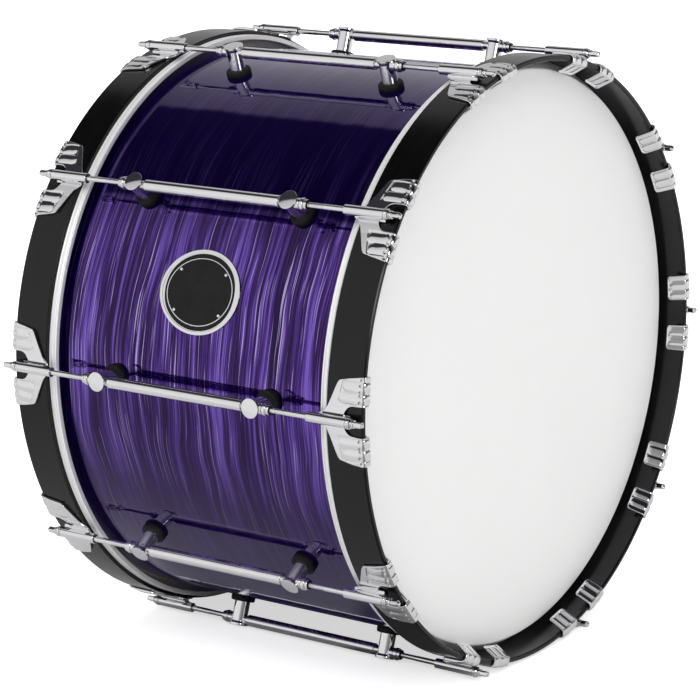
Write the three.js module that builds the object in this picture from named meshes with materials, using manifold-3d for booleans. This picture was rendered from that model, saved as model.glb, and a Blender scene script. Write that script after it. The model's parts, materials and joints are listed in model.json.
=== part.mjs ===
// Marching bass drum, 22 inches across and 14 inches deep, in millimetres with +Z up.
// The drum's axis runs along Y. The front head looks along -Y, and the drum rests on four lug caps.
import * as THREE from 'three';
import Module from 'manifold-3d';
import { mergeVertices } from 'three/addons/utils/BufferGeometryUtils.js';

const wasm = await Module();
wasm.setup();

// Clearance between pieces that touch
const seatGap = 0.3;

// Shell and its wrap
const shellDiameter = 558.8;
const shellDepth = 355.6;
const shellWall = 6.5;
const wrapThickness = 0.5;
const wrapInset = 6;
const edgeRound = 1.4;
const bearingFlat = 1.2;

// Heads: a film stretched over the bearing edge, held in a channel ring
const filmThickness = 0.4;
const shoulderGap = 0.5;
const shoulderDrop = 2;
const collarDepth = 13.5;
const rimStandoff = 6.8;
const rimWidth = 4.9;
const rimHeight = 8.9;
const rimWall = 1.5;
const skirtShare = 0.43;

// Hoops
const hoopSeat = 1.8;
const hoopThickness = 5.4;
const hoopWidth = 39.5;
const hoopBevel = 0.9;

// Tension stations round the drum
const stationCount = 10;

// Tube lugs: two posts joined by a tube, on rubber gaskets, each screwed on from inside the shell
const lugOffset = 90.1;
const tubeWall = 2.45;
const capCover = 1.25;
const capFlare = 1.7;
const capBevel = 0.9;
const footDiameter = 15.4;
const gasketRim = 4.6;
const gasketHeight = 5.6;
const nutWall = 2.9;
const nutLength = 10.5;
const screwDiameter = 5;
const screwHeadRim = 4.5;
const screwHeadHeight = 3.4;
const screwClearance = 0.7;

// Tension rods with square key heads
const rodDiameter = 5.4;
const boreClearance = 0.6;
const threadReach = 12;
const flangeRim = 2.6;
const flangeLength = 4.6;
const keyWidth = 6;
const keyLength = 12.3;

// Double claws that hook over the hoop
const barrelWall = 1.6;
const barrelRise = 0.8;
const barrelLength = 43;
const barrelSetback = 11;
const clawPlate = 2.3;
const clawFront = 2.4;
const clawCorner = 1.8;
const clawWidth = 83;
const shoulderWidth = 71;
const rootWidth = 22;
const webWidth = 8;
const webTail = 3.5;
const notchWidth = 28;
const notchDepth = 11.6;
const notchRound = 4;
const shoulderSetback = 25;
const legLength = 17.9;
const legThickness = 2.5;
const legFlare = THREE.MathUtils.degToRad(32);

// Badge plate on the shell, and the vent on the far side
const badgeLength = 92;
const badgeHeight = 80;
const badgeThickness = 1.6;
const badgeAngle = THREE.MathUtils.degToRad(161.5);
const ventAngle = THREE.MathUtils.degToRad(342);
const ventBore = 12;
const ventWall = 1;
const ventFlange = 3;
const ventFlangeThickness = 1;
const ventClearance = 0.4;

// Facets of the round forms
const roundSteps = 40;
const postSteps = 8;
const rodSteps = 8;
const screwSteps = 6;
const clawBends = 4;
const badgeSteps = 20;
const badgeBends = 6;

// A cutter runs this far past what it cuts
const overrun = 5;

// Radii from the drum's axis
const wrapRadius = shellDiameter / 2;
const shellRadius = wrapRadius - wrapThickness - seatGap;
const shellInner = shellRadius - shellWall;
const rimInner = wrapRadius + rimStandoff;
const rimOuter = rimInner + rimWidth;
const hoopInner = rimOuter - hoopSeat;
const hoopOuter = hoopInner + hoopThickness;
const plateRadius = hoopOuter + seatGap + clawPlate;

// What carries a rod is bored with clearance and has its own wall round the bore
const boreRadius = rodDiameter / 2 + boreClearance;
const tubeRadius = boreRadius + tubeWall;
const nutRadius = boreRadius + nutWall;
const barrelRadius = boreRadius + barrelWall;
const rodAxis = plateRadius + barrelRise + barrelRadius;

// Lug post, from its gasket out to its cap
const footRadius = footDiameter / 2;
const gasketBottom = wrapRadius + seatGap;
const gasketTop = gasketBottom + gasketHeight;
const capTop = rodAxis + tubeRadius + capCover;
const capRadius = footRadius + capFlare;
const capFace = capRadius - capBevel;

// Distances from the drum's middle, measured outwards along the axis
const edgeTop = shellDepth / 2;
const rimTop = edgeTop - collarDepth;
const hoopBack = rimTop + seatGap;
const hoopFront = hoopBack + hoopWidth;
const barrelEnd = hoopFront - barrelSetback;

// The middle of a flat facet lies nearer the axis than its corners, by this share of the radius
const facetShare = Math.cos(Math.PI / roundSteps);

// The lowest points are the rims of the flat cap faces beside the bottom
const stationStep = 2 * Math.PI / stationCount;
const restTilt = stationStep / 2;
const axisHeight = capTop * Math.cos(restTilt) + capFace * Math.sin(restTilt);

const finishes = {
  wood: { color: 0xc9a06a, roughness: 0.55, metalness: 0 },
  pearl: { color: 0x4b1f9c, roughness: 0.12, metalness: 0.1 },
  black: { color: 0x17171a, roughness: 0.42, metalness: 0 },
  film: { color: 0xf1f1ee, roughness: 0.6, metalness: 0 },
  aluminium: { color: 0xdadadd, roughness: 0.3, metalness: 0.9 },
  chrome: { color: 0xd9dcdf, roughness: 0.08, metalness: 1 },
};

function mesh(name, geometry, finish) {
  const part = new THREE.Mesh(geometry, new THREE.MeshStandardMaterial(finish));
  part.name = name;
  return part;
}

// A closed solid from a geometry: corners are merged, and faces that collapsed at a pole are dropped
function solidOf(geometry) {
  const bare = geometry.clone();
  bare.deleteAttribute('normal');
  bare.deleteAttribute('uv');
  const merged = mergeVertices(bare);
  const corners = merged.index.array;
  const kept = [];
  for (let i = 0; i < corners.length; i += 3) {
    const face = [corners[i], corners[i + 1], corners[i + 2]];
    if (new Set(face).size === face.length) {
      kept.push(...face);
    }
  }
  return new wasm.Manifold(new wasm.Mesh({
    numProp: 3,
    vertProperties: merged.attributes.position.array,
    triVerts: Uint32Array.from(kept),
  }));
}

function geometryOf(solid) {
  const { vertProperties, triVerts } = solid.getMesh();
  const geometry = new THREE.BufferGeometry();
  geometry.setAttribute('position', new THREE.BufferAttribute(vertProperties, 3));
  geometry.setIndex(new THREE.BufferAttribute(triVerts, 1));
  geometry.computeVertexNormals();
  return geometry;
}

// A ring or disc turned round the Y axis from [radius, height] points given anticlockwise
function turned(points, steps, closed) {
  const profile = points.map(([radius, height]) => new THREE.Vector2(radius, height));
  if (closed) {
    profile.push(profile[0].clone());
  }
  return new THREE.LatheGeometry(profile, steps);
}

// A turned form whose height runs outwards from the drum's axis, along X
function turnedOutwards(points, steps) {
  return turned(points, steps, false).rotateZ(-Math.PI / 2);
}

// A rod of any section along Y, centred on the tension rods' axis
function alongRod(radius, from, to, steps) {
  return new THREE.CylinderGeometry(radius, radius, to - from, steps)
    .translate(rodAxis, (from + to) / 2, 0);
}

// An outline in the plane of [first, second] points, pushed along the third direction
function pushed(points, depth, steps) {
  const outline = new THREE.Shape(points.map(([a, b]) => new THREE.Vector2(a, b)));
  return new THREE.ExtrudeGeometry(outline, { depth, steps, bevelEnabled: false });
}

// Bends a form round the drum's axis: X stays the radius, and Z becomes the way round at that radius
function bent(geometry, radius) {
  const place = geometry.attributes.position;
  for (let i = 0; i < place.count; i += 1) {
    const angle = place.getZ(i) / radius;
    const reach = place.getX(i);
    place.setX(i, reach * Math.cos(angle));
    place.setZ(i, reach * Math.sin(angle));
  }
  return geometry;
}

// An outline of [way round, axial] points, pushed outwards between two radii and bent round the drum
function bentPrism(points, from, to, radius) {
  const prism = pushed(points, to - from, 1).translate(0, 0, from).rotateY(Math.PI / 2);
  return bent(prism, radius);
}

// A section of [radius, axial] points carried round the drum for a given width
function bentBar(points, width, radius, steps) {
  return bent(pushed(points, width, steps).translate(0, 0, -width / 2), radius);
}

function joined(solids) {
  return solids.reduce((whole, solid) => whole.add(solid));
}

// Turns a form from the X direction to an angle round the drum
function atAngle(geometry, angle) {
  return geometry.rotateY(-angle);
}

function stationAngles() {
  return Array.from({ length: stationCount }, (_, i) => i * stationStep);
}

// Holes in the shell wall for the lug screws and the vent
function wallCuts() {
  const cuts = [];
  const radius = screwDiameter / 2 + screwClearance;
  const drill = [[0, shellInner - overrun], [radius, shellInner - overrun],
    [radius, wrapRadius + overrun], [0, wrapRadius + overrun]];
  for (const angle of stationAngles()) {
    for (const side of [-1, 1]) {
      const hole = turnedOutwards(drill, screwSteps).translate(0, side * lugOffset, 0);
      cuts.push(solidOf(atAngle(hole, angle)));
    }
  }
  const ventRadius = ventBore / 2 + ventWall + ventClearance;
  const ventHole = turnedOutwards([[0, shellInner - overrun], [ventRadius, shellInner - overrun],
    [ventRadius, wrapRadius + overrun], [0, wrapRadius + overrun]], postSteps);
  cuts.push(solidOf(atAngle(ventHole, ventAngle)));
  return joined(cuts);
}

// Shell with a bearing edge: a 45 degree cut inside, a narrow flat, and a small round outside
function shell() {
  const peakOuter = shellRadius - edgeRound;
  const peakInner = peakOuter - bearingFlat;
  const cutDepth = peakInner - shellInner;
  const points = [
    [shellInner, -edgeTop + cutDepth], [peakInner, -edgeTop], [peakOuter, -edgeTop],
    [shellRadius, -edgeTop + edgeRound], [shellRadius, edgeTop - edgeRound],
    [peakOuter, edgeTop], [peakInner, edgeTop], [shellInner, edgeTop - cutDepth],
  ];
  return solidOf(turned(points, roundSteps, true)).subtract(wallCuts());
}

function wrap() {
  const reach = edgeTop - wrapInset;
  const points = [[wrapRadius - wrapThickness, -reach], [wrapRadius, -reach],
    [wrapRadius, reach], [wrapRadius - wrapThickness, reach]];
  return solidOf(turned(points, roundSteps, true)).subtract(wallCuts());
}

// Head film: flat over the drum, round the shoulder, out over the rim's inner wall and down into its channel
function head() {
  const under = edgeTop + seatGap;
  const bend = shellRadius - edgeRound;
  const shoulder = wrapRadius + shoulderGap;
  const shoulderHeight = edgeTop - shoulderDrop;
  const skirt = rimInner + rimWidth * skirtShare;
  const skirtTop = rimTop + 2 * seatGap;
  const skirtEnd = rimTop - rimHeight + rimWall + seatGap;
  return turned([
    [0, under], [bend, under], [shoulder, shoulderHeight], [skirt, skirtTop], [skirt, skirtEnd],
    [skirt + filmThickness, skirtEnd], [skirt + filmThickness, skirtTop],
    [shoulder + filmThickness, shoulderHeight + filmThickness / 2],
    [bend, under + filmThickness], [0, under + filmThickness],
  ], roundSteps, false);
}

// Channel ring that grips the film's edge
function headRim() {
  const floor = rimTop - rimHeight;
  return turned([
    [rimInner, floor], [rimOuter, floor], [rimOuter, rimTop], [rimOuter - rimWall, rimTop],
    [rimOuter - rimWall, floor + rimWall], [rimInner + rimWall, floor + rimWall],
    [rimInner + rimWall, rimTop], [rimInner, rimTop],
  ], roundSteps, true);
}

function hoop() {
  return turned([
    [hoopInner, hoopBack], [hoopOuter, hoopBack], [hoopOuter, hoopFront - hoopBevel],
    [hoopOuter - hoopBevel, hoopFront], [hoopInner, hoopFront],
  ], roundSteps, true);
}

// Lug post with its gasket, turned about a line that runs outwards from the drum's axis
function post(side) {
  const form = [
    [0, gasketBottom], [footRadius + gasketRim, gasketBottom], [footRadius + gasketRim, gasketTop],
    [footRadius, gasketTop], [capRadius, capTop - capBevel], [capFace, capTop], [0, capTop],
  ];
  return solidOf(turnedOutwards(form, postSteps).translate(0, side * lugOffset, 0));
}

// Screw from inside the shell into the post, its head on the wall's flat facets
function lugScrew(side) {
  const seat = shellInner * facetShare - seatGap;
  const bottom = seat - screwHeadHeight;
  const shank = screwDiameter / 2;
  const form = [
    [0, bottom], [shank + screwHeadRim, bottom], [shank + screwHeadRim, seat],
    [shank, seat], [shank, gasketTop], [0, gasketTop],
  ];
  return solidOf(turnedOutwards(form, screwSteps).translate(0, side * lugOffset, 0));
}

// Radius of a post where the tension rods meet it
function postRadiusAtRod() {
  const share = (rodAxis - gasketTop) / (capTop - capBevel - gasketTop);
  return THREE.MathUtils.lerp(footRadius, capRadius, share);
}

function lug() {
  const nutEnd = lugOffset + postRadiusAtRod() + nutLength;
  const bore = alongRod(boreRadius, -nutEnd - overrun, nutEnd + overrun, rodSteps);
  return joined([
    post(-1), post(1), lugScrew(-1), lugScrew(1),
    solidOf(alongRod(tubeRadius, -lugOffset, lugOffset, rodSteps)),
    solidOf(alongRod(nutRadius, -nutEnd, nutEnd, rodSteps)),
  ]).subtract(solidOf(bore));
}

// Tension rod: the thread and the flange are turned, and the key head is square
function tensionRod() {
  const start = lugOffset - threadReach;
  const flangeStart = barrelEnd + seatGap;
  const flangeEnd = flangeStart + flangeLength;
  const thread = rodDiameter / 2;
  const form = [
    [0, start], [thread, start], [thread, flangeStart], [thread + flangeRim, flangeStart],
    [thread + flangeRim, flangeEnd], [0, flangeEnd],
  ];
  const keyMiddle = flangeEnd + (keyLength - flangeLength) / 2;
  const key = new THREE.BoxGeometry(keyWidth, keyLength + flangeLength, keyWidth)
    .translate(rodAxis, keyMiddle, 0);
  return solidOf(turned(form, rodSteps, false).translate(rodAxis, 0, 0)).add(solidOf(key));
}

// Section of a claw: plate on the hoop, corner, front, and the leg that flares inside the hoop
function hookSection() {
  const under = hoopOuter + seatGap;
  const top = under + clawPlate;
  const inside = hoopFront + seatGap;
  const front = inside + clawFront;
  const along = [-Math.sin(legFlare), -Math.cos(legFlare)];
  const across = [Math.cos(legFlare), -Math.sin(legFlare)];
  const legStart = [hoopInner * facetShare - seatGap, inside];
  const legEnd = [legStart[0] + along[0] * legLength, legStart[1] + along[1] * legLength];
  const legFace = [legEnd[0] - across[0] * legThickness, legEnd[1] - across[1] * legThickness];
  const rise = (front - legFace[1]) / -along[1];
  return [
    [under, barrelEnd - barrelLength], [under, inside], legStart, legEnd, legFace,
    [legFace[0] - along[0] * rise, front], [top - clawCorner, front], [top, front - clawCorner],
    [top, barrelEnd - barrelLength],
  ];
}

// Plan of a claw as seen from outside: wings that widen to two fingers, with a notch between
function clawPlan() {
  const front = hoopFront + seatGap + clawFront + overrun;
  const notchBottom = hoopFront + seatGap + clawFront - notchDepth;
  const shoulder = hoopFront - shoulderSetback;
  const half = [
    [notchWidth / 2 - notchRound, notchBottom - notchRound], [notchWidth / 2, notchBottom],
    [notchWidth / 2, front], [clawWidth / 2, front], [clawWidth / 2, hoopFront],
    [shoulderWidth / 2, shoulder], [rootWidth / 2, hoopBack + clawPlate],
    [webWidth / 2, hoopBack - webTail],
  ];
  return [...half, ...half.map(([across, axial]) => [-across, axial]).reverse()];
}

function claw() {
  const hook = solidOf(bentBar(hookSection(), clawWidth + overrun, plateRadius, clawBends));
  const plan = solidOf(bentPrism(clawPlan(), hoopInner - legLength, rodAxis, plateRadius));
  const webStart = hoopBack - webTail;
  const webEnd = barrelEnd - clawPlate;
  const webBase = hoopOuter + seatGap;
  const web = new THREE.BoxGeometry(rodAxis - webBase, webEnd - webStart, webWidth)
    .translate((rodAxis + webBase) / 2, (webStart + webEnd) / 2, 0);
  const barrel = alongRod(barrelRadius, barrelEnd - barrelLength, barrelEnd, postSteps);
  const bore = alongRod(boreRadius, barrelEnd - barrelLength - overrun, barrelEnd + overrun, rodSteps);
  return joined([hook.intersect(plan), solidOf(web), solidOf(barrel)]).subtract(solidOf(bore));
}

// Oval badge plate, bent to the shell
function badge() {
  const under = wrapRadius + seatGap;
  const top = under + badgeThickness;
  const section = [[under, -badgeLength / 2 - overrun], [top, -badgeLength / 2 - overrun],
    [top, badgeLength / 2 + overrun], [under, badgeLength / 2 + overrun]];
  const sheet = solidOf(bentBar(section, badgeHeight + overrun, top, badgeBends));
  const oval = new THREE.EllipseCurve(0, 0, badgeHeight / 2, badgeLength / 2)
    .getPoints(badgeSteps).slice(1).map((p) => [p.x, p.y]);
  return sheet.intersect(solidOf(bentPrism(oval, under - badgeHeight, top + badgeHeight, top)));
}

// Vent eyelet: a tube through the wall with a flange on each side
function vent() {
  const bore = ventBore / 2;
  const tube = bore + ventWall;
  const flange = tube + ventFlange;
  const innerSeat = shellInner * facetShare - seatGap;
  const outerSeat = wrapRadius + seatGap;
  const points = [
    [bore, innerSeat - ventFlangeThickness], [flange, innerSeat - ventFlangeThickness], [flange, innerSeat],
    [tube, innerSeat], [tube, outerSeat], [flange, outerSeat], [flange, outerSeat + ventFlangeThickness],
    [bore, outerSeat + ventFlangeThickness], [bore, innerSeat - ventFlangeThickness],
  ];
  return turnedOutwards(points, postSteps);
}

const drum = new THREE.Group();
drum.position.z = axisHeight;

drum.add(mesh('shell', geometryOf(shell()), finishes.wood));
drum.add(mesh('shell_wrap', geometryOf(wrap()), finishes.pearl));
drum.add(mesh('badge', geometryOf(badge()), finishes.black));
drum.children.at(-1).rotation.y = -badgeAngle;
drum.add(mesh('vent_grommet', vent(), finishes.chrome));
drum.children.at(-1).rotation.y = -ventAngle;

// One end of the drum, built outwards along +Y; the front end is the same form turned over
function drumEnd(label) {
  const end = new THREE.Group();
  end.add(mesh(`${label}_head`, head(), finishes.film));
  end.add(mesh(`${label}_head_rim`, headRim(), finishes.aluminium));
  end.add(mesh(`${label}_hoop`, hoop(), finishes.black));
  return end;
}

const frontEnd = drumEnd('front');
frontEnd.rotation.x = Math.PI;
drum.add(frontEnd, drumEnd('rear'));

const lugForm = geometryOf(lug());
const rodForm = geometryOf(tensionRod());
const clawForm = geometryOf(claw());

stationAngles().forEach((angle, i) => {
  const number = String(i + 1).padStart(2, '0');
  const station = new THREE.Group();
  station.rotation.y = -angle;
  station.add(mesh(`lug_${number}`, lugForm, finishes.chrome));
  const front = new THREE.Group();
  front.rotation.x = Math.PI;
  for (const [label, end] of [['front', front], ['rear', station]]) {
    end.add(mesh(`${label}_claw_${number}`, clawForm, finishes.chrome));
    end.add(mesh(`${label}_rod_${number}`, rodForm, finishes.chrome));
  }
  station.add(front);
  drum.add(station);
});

export default drum;
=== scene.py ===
"""Marching bass drum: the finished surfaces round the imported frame, in metres, with +Z up."""

import json
import math

import bmesh
import bpy
import numpy as np
from mathutils import Matrix, Vector


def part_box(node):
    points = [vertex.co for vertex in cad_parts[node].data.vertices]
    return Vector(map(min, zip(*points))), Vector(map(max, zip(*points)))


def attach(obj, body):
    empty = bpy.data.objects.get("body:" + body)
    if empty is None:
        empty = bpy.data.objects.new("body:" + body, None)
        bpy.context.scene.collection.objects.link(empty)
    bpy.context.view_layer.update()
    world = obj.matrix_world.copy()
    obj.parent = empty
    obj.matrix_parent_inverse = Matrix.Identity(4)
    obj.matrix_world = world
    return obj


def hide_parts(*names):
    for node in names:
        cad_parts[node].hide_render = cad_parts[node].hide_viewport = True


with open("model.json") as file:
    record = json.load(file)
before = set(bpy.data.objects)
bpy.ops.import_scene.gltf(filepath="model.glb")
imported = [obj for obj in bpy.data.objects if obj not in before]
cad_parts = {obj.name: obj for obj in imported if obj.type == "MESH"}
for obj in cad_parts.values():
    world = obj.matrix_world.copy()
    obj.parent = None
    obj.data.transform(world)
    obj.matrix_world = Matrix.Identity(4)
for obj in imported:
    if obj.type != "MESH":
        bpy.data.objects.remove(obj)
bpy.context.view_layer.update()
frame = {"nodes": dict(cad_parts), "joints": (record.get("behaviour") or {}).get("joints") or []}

MM = 0.001
ENDS = (("front", -1), ("rear", 1))


def half_span(node, axis):
    """Half of a CAD node's extent along one axis."""
    low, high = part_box(node)
    return (high[axis] - low[axis]) / 2


def axial_span(node):
    """Lowest and highest place of a CAD node along the drum's axis."""
    low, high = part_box(node)
    return low.y, high.y


# Driving places, read from the frame. The drum's axis runs along Y at AXIS_Z, with the rear end at plus Y.
wrap_low, wrap_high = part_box("shell_wrap")
AXIS_Z = (wrap_low.z + wrap_high.z) / 2
WRAP_RADIUS = half_span("shell_wrap", 0)
WRAP_END = wrap_high.y
SHELL_RADIUS = half_span("shell", 0)
EDGE_END = axial_span("shell")[1]
HOOP_OUTER = half_span("rear_hoop", 0)
HOOP_BACK, HOOP_FRONT = axial_span("rear_hoop")
RIM_OUTER = half_span("rear_head_rim", 0)
RIM_BACK, RIM_FRONT = axial_span("rear_head_rim")
LUG_LOW, LUG_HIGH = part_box("lug_01")
BARREL_BACK, CLAW_FRONT = axial_span("rear_claw_01")
ROD_TIP, KEY_END = axial_span("rear_rod_01")
STATIONS = sorted(n[-2:] for n in frame["nodes"] if n.startswith("lug_"))
STATION_STEP = 2 * math.pi / len(STATIONS)
rod_joint = next(j for j in frame["joints"] if j["name"] == "rear_rod_01_turn")
ROD_AXIS = rod_joint["pos_m"][0]

# Gap between pieces that touch
SEAT = 0.3 * MM

# Fineness of the round forms
ROUND_STEPS = 240
POST_STEPS = 48
BARREL_STEPS = 32
ROD_STEPS = 24
THREAD_STEPS = 12
KEY_STEPS = 32
SCREW_STEPS = 32
RIVET_STEPS = 24
BADGE_STEPS = 128
ARC_STEPS = 6
# How far the holding points stand from a rounded corner, and the angle past which an edge stays sharp
HOLD = 0.35 * MM
SHARP = math.radians(35)

# Wrap, heads, rims and hoops
WRAP_THICK = 0.5 * MM
FILM = 0.4 * MM
RIM_WIDTH = 4.9 * MM
RIM_WALL = 1.5 * MM
HOOP_THICK = 5.4 * MM

# Claws. The barrel and its bore lie round the rod.
CLAW_THICK = 2.3 * MM
CLAW_EDGE = 0.8 * MM
CLAW_OUTER = HOOP_OUTER + SEAT + CLAW_THICK
CLAW_TAIL = 161.3 * MM
CLAW_ROWS = 124
CLAW_COLUMNS = 60
UNDER_COLUMNS = 12
LEG_END = (277.5 * MM, 190.6 * MM)
BARREL_RADIUS = 4.9 * MM
BORE_RADIUS = 3.3 * MM
BARREL_FRONT = BARREL_BACK + 43 * MM

# Outline of half a claw, as its outer and inner offset. The reach runs from the drum's middle along the plate,
# round the front and down the leg.
CLAW_WING = np.array([
    [161.3, 4.6], [164.5, 7.8], [167.5, 11.6], [173, 23.4], [176, 30.2], [178.2, 34.6], [180.2, 36.8],
    [190, 39.0], [203, 41.2], [210, 41.6],
]) * MM
CLAW_NOTCH = np.array([
    [170, -0.3], [182, 2.4], [184.6, 2.8], [185.2, 5.2], [186.5, 8.0], [188.5, 10.8], [191, 12.7], [194, 13.6],
    [207, 14.0],
]) * MM
# Panel sunk in the face of each finger, by offset and reach. The face leans up from the panel's inner side.
PANEL_START = 178.2 * MM
PANEL_INNER = 17.8 * MM
PANEL_OUTER = 37.0 * MM
PANEL_DEPTH = 0.6 * MM
FACE_LEAN = 0.05
# Ribs: the middle line's offset, the half width, and the reach where it starts. Each ends short of the tip.
CLAW_RIBS = np.array([[31.3, 5.1, 188.5], [20.7, 5.0, 184.0]]) * MM
RIB_HEIGHT = 1.15 * MM
RIB_END = 5.5 * MM
# Dimples along the front bend: offset, reach and half width
CLAW_DIMPLES = np.array([
    [17.4, 201.8, 1.5], [24.2, 202.2, 1.2], [27.0, 202.0, 1.0], [33.2, 202.4, 1.3], [38.2, 203.0, 1.5],
]) * MM
DIMPLE_LENGTH = 1.3 * MM
DIMPLE_DEPTH = 1.2 * MM

# Rods
THREAD_RADIUS = 2.65 * MM
SHANK_RADIUS = 2.7 * MM
THREAD_PITCH = 25.4 * MM / 24
THREAD_DEPTH = 0.3 * MM
THREAD_END = 128 * MM
ROD_FLANGE = BARREL_FRONT + SEAT

# Lugs
LUG_AXIAL = 90.1 * MM
TUBE_RADIUS = 5.75 * MM
NECK_RADIUS = 4.1 * MM
FOOT_RADIUS = 7.7 * MM
CAP_RADIUS = 9.4 * MM
CAP_TOP = LUG_HIGH.x
GASKET_HEIGHT = 5.6 * MM
GASKET_TOP = WRAP_RADIUS + GASKET_HEIGHT
NUT_END = LUG_HIGH.y

# Badge
BADGE_ANGLE = math.radians(161.5)
BADGE_LENGTH = 92 * MM
BADGE_HEIGHT = 80 * MM


# Mesh helpers

def grid_faces(rows, columns, closed_rows=False, closed_columns=True):
    """Quads over a grid of rows by columns points. A closed direction joins its last line to its first."""
    row = np.arange(rows if closed_rows else rows - 1)
    column = np.arange(columns if closed_columns else columns - 1)
    r, c = np.meshgrid(row, column, indexing="ij")
    r_next, c_next = (r + 1) % rows, (c + 1) % columns
    corners = [r * columns + c, r * columns + c_next, r_next * columns + c_next, r_next * columns + c]
    return np.stack(corners, -1).reshape(-1, 4)


def skin(points, closed_rows=False, closed_columns=True):
    """(points, quads) of one grid surface, given as rows by columns by 3."""
    rows, columns = points.shape[:2]
    return points.reshape(-1, 3), grid_faces(rows, columns, closed_rows, closed_columns)


def closed_mesh(name, skins):
    """One mesh from several closed skins. Its doubles are merged and its faces turned outwards."""
    counts = np.cumsum([0] + [len(points) for points, _ in skins])
    points = np.concatenate([p for p, _ in skins])
    faces = np.concatenate([f + start for (_, f), start in zip(skins, counts)])
    mesh = bpy.data.meshes.new(name)
    mesh.from_pydata(points, [], faces)
    weld = bmesh.new()
    weld.from_mesh(mesh)
    bmesh.ops.remove_doubles(weld, verts=weld.verts, dist=0.001 * MM)
    bmesh.ops.dissolve_degenerate(weld, edges=weld.edges, dist=0.001 * MM)
    bmesh.ops.recalc_face_normals(weld, faces=weld.faces)
    weld.to_mesh(mesh)
    weld.free()
    return mesh


def piece(name, skins, material, body, stands_for=()):
    """One smooth object with sharp corners, which rides a body and stands for CAD nodes."""
    mesh = closed_mesh(name, skins)
    mesh.shade_smooth()
    mesh.set_sharp_from_angle(angle=SHARP)
    made = bpy.data.objects.new(name, mesh)
    bpy.context.scene.collection.objects.link(made)
    made.data.materials.append(material)
    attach(made, body)
    if stands_for:
        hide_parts(*stands_for)
    return made


def bore(made, skins):
    """Cuts the room inside some closed skins out of a piece."""
    drill = bpy.data.objects.new("drill", closed_mesh("drill", skins))
    bpy.context.scene.collection.objects.link(drill)
    cut = made.modifiers.new("cut", "BOOLEAN")
    cut.operation, cut.solver, cut.object = "DIFFERENCE", "EXACT", drill
    mesh = bpy.data.meshes.new_from_object(made.evaluated_get(bpy.context.evaluated_depsgraph_get()))
    made.modifiers.clear()
    made.data = mesh
    mesh.set_sharp_from_angle(angle=SHARP)
    bpy.data.objects.remove(drill)


def corner_arc(before, corner, after, radius, steps=ARC_STEPS):
    """Points of the arc that rounds a corner, with a holding point on each side to keep the flats flat."""
    back, ahead = before - corner, after - corner
    room = min(np.linalg.norm(back), np.linalg.norm(ahead)) * 0.48
    back, ahead = back / np.linalg.norm(back), ahead / np.linalg.norm(ahead)
    half = math.acos(np.clip(back @ ahead, -1, 1)) / 2
    tangent = min(radius / math.tan(half), room)
    radius = tangent * math.tan(half)
    middle = (back + ahead) / np.linalg.norm(back + ahead)
    centre = corner + middle * radius / math.sin(half)
    start, end = corner + back * tangent - centre, corner + ahead * tangent - centre
    sweep = math.pi - 2 * half
    share = np.linspace(0, 1, steps + 1)[:, None]
    arc = (np.sin((1 - share) * sweep) * start + np.sin(share * sweep) * end) / math.sin(sweep)
    hold = min(HOLD, room - tangent)
    if hold <= 0:
        return centre + arc
    far = tangent + hold
    return np.concatenate([[corner + back * far], centre + arc, [corner + ahead * far]])


def outline(points, radii, closed=True):
    """A polygon or a path with its corners rounded. A radius of zero keeps the corner."""
    points = np.asarray(points, float)
    made = []
    for i, radius in enumerate(radii):
        if radius == 0 or (not closed and i in (0, len(points) - 1)):
            made.append(points[i:i + 1])
        else:
            made.append(corner_arc(points[i - 1], points[i], points[(i + 1) % len(points)], radius))
    return np.concatenate(made)


def ring(profile, side):
    """Surface of revolution round the drum's axis: each [radius, axial] point goes round a circle."""
    angle = np.arange(ROUND_STEPS)[:, None] * 2 * math.pi / ROUND_STEPS
    radius, axial = profile[:, 0], profile[:, 1]
    out, up = radius * np.cos(angle), radius * np.sin(angle)
    return skin(np.stack([out, side * axial + 0 * angle, AXIS_Z + up], -1), closed_rows=True)


def disc(profile, side):
    """Surface of revolution whose profile starts and ends on the drum's axis."""
    points, _ = ring(profile, side)
    return points, grid_faces(ROUND_STEPS, len(profile), closed_rows=True, closed_columns=False)


def at_station(out, across, axial, angle):
    """Points given by their reach along a station's radius, their offset across it, and their axial place."""
    out, across, axial = np.broadcast_arrays(out, across, axial)
    x = out * math.cos(angle) - across * math.sin(angle)
    z = AXIS_Z + out * math.sin(angle) + across * math.cos(angle)
    return np.stack([x, axial, z], -1)


def round_station(radius, arc, axial, angle):
    """Points given by their radius from the drum's axis, and the angle by which they lie past a station."""
    radius, arc, axial = np.broadcast_arrays(radius, arc, axial)
    return at_station(radius * np.cos(arc), radius * np.sin(arc), axial, angle)


def turned_on_rod(profile, angle, side, steps=ROD_STEPS, closed=True):
    """Surface of revolution round a tension rod: [radius, axial] points turned about the rod's own axis."""
    turn = np.arange(steps)[:, None] * 2 * math.pi / steps
    radius, axial = profile[:, 0], profile[:, 1]
    points = at_station(ROD_AXIS + radius * np.cos(turn), radius * np.sin(turn), side * axial, angle)
    return points.reshape(-1, 3), grid_faces(steps, len(profile), True, closed)


def turned_outwards(profile, angle, axial, steps=POST_STEPS, closed=False):
    """Surface of revolution round a line that points away from the drum: [radius, height] points."""
    turn = np.arange(steps)[:, None] * 2 * math.pi / steps
    radius, height = profile[:, 0], profile[:, 1]
    points = at_station(height, radius * np.sin(turn), axial + radius * np.cos(turn), angle)
    return points.reshape(-1, 3), grid_faces(steps, len(profile), True, closed)


def ease(x):
    """Zero below 0, one above 1, and smooth between."""
    x = np.clip(x, 0, 1)
    return x * x * (3 - 2 * x)


def snapped(values, places):
    """Each value moved to the nearest of some places."""
    return places[np.abs(places - values[:, None]).argmin(1)]


# Finishes

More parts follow.
